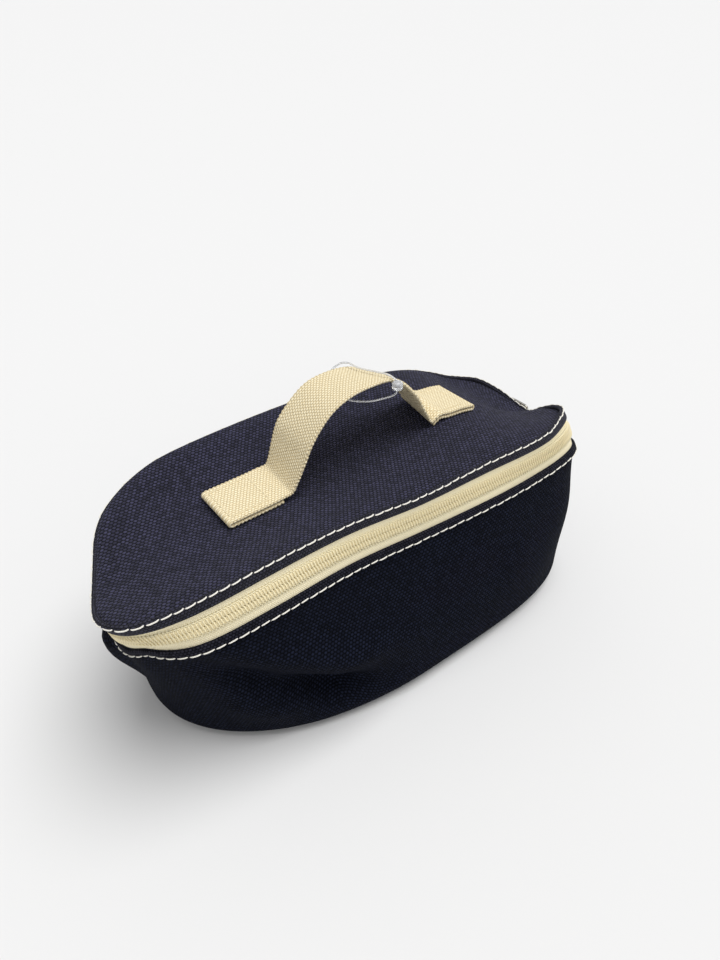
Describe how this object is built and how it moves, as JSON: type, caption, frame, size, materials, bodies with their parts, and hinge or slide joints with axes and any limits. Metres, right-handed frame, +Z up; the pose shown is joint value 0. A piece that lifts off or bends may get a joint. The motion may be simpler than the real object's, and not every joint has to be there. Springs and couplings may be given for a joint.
{
  "type": "insulated cooler bag",
  "caption": "Small long insulated cooler bag: soft canvas tub with foam and foil lining, hinged lid closed by a coil zip on three sides, and a webbing handle on top.",
  "frame": {"origin": "centre of the base, on the surface that the bag stands on", "axes": "+X along the bag's length to the right as seen from the front, +Y from the front to the hinge at the back, +Z up"},
  "size_m": [0.2368, 0.115, 0.1306],
  "materials": {
    "canvas": "coarse plain-weave navy cotton canvas",
    "thread": "thick cream topstitching thread",
    "foam": "soft closed-cell polyethylene foam",
    "foil": "thin aluminised film, lightly crinkled",
    "binding": "folded navy binding tape",
    "zip_tape": "close-woven cream zip tape",
    "zip_coil": "cream nylon coil",
    "webbing": "ribbed cream cotton webbing",
    "nickel": "satin nickel plate",
    "clear_plastic": "clear nylon"
  },
  "bodies": {
    "bag_body": {"base_panel": "canvas", "body_wall": "canvas", "body_hem": "canvas", "body_thread": "thread", "body_foam": "foam", "body_liner": "foil", "body_binding": "binding", "body_tape": "zip_tape", "body_coil": "zip_coil", "hinge_panel": "canvas", "zip_stop_left_lower": "nickel", "zip_stop_right_lower": "nickel"},
    "lid": {"lid_shell": "canvas", "lid_hem": "canvas", "lid_thread": "thread", "lid_foam": "foam", "lid_liner": "foil", "lid_binding": "binding", "lid_tape": "zip_tape", "lid_coil": "zip_coil", "zip_stop_left_upper": "nickel", "zip_stop_right_upper": "nickel", "handle_strap": "webbing", "handle_stitch_left": "thread", "handle_stitch_right": "thread", "tag_lock": "clear_plastic", "tag_loop": "clear_plastic"},
    "zip_slider": {"slider_body": "nickel"},
    "pull_tab": {"pull_tab": "nickel"}
  },
  "joints": [
    {"name": "lid_hinge", "type": "hinge", "parent": "bag_body", "child": "lid", "pos_m": [0, 0.0479, 0.088], "axis": [-1, 0, 0], "range_deg": [0, 100]},
    {"name": "zip_slide", "type": "slide", "parent": "bag_body", "child": "zip_slider", "axis": [0, -1, 0], "range_m": [0, 0.036]},
    {"name": "tab_swing", "type": "hinge", "parent": "zip_slider", "child": "pull_tab", "pos_m": [0.1152, 0.018, 0.074], "axis": [0, 0, 1], "range_deg": [0, 170]}
  ]
}
